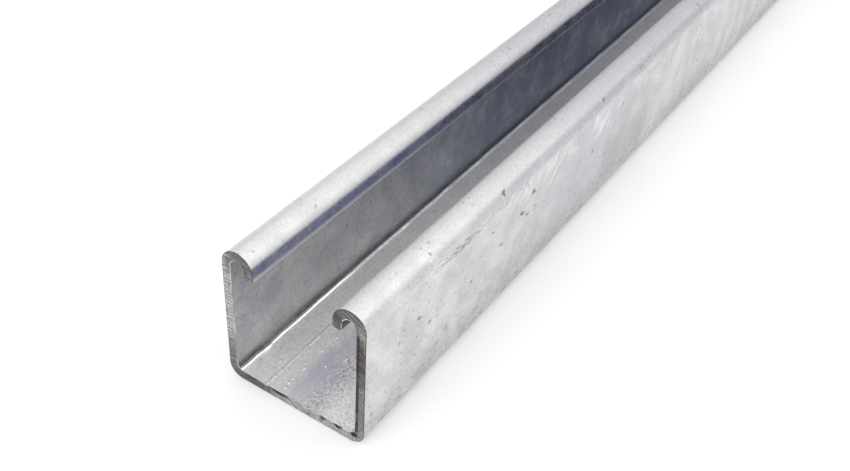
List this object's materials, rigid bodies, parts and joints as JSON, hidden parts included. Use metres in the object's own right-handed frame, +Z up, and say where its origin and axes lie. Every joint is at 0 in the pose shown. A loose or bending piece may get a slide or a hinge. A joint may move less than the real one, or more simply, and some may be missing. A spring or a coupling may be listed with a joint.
{
  "type": "strut channel",
  "caption": "Plain-back galvanised steel strut channel: a square C-section with inward-rolled lips, whose open slot takes sliding channel nuts and clamps.",
  "frame": {"origin": "under the middle of the back, halfway along the length", "axes": "+X across the channel, +Y along its length, +Z up from the back to the lips, so the slot opens upwards"},
  "size_m": [0.0412, 1, 0.0413],
  "materials": {
    "galvanised_steel": "hot-dip galvanised steel, satin pale grey with faint mottling"
  },
  "bodies": {
    "root": {"strut_channel": "galvanised_steel"}
  },
  "joints": []
}
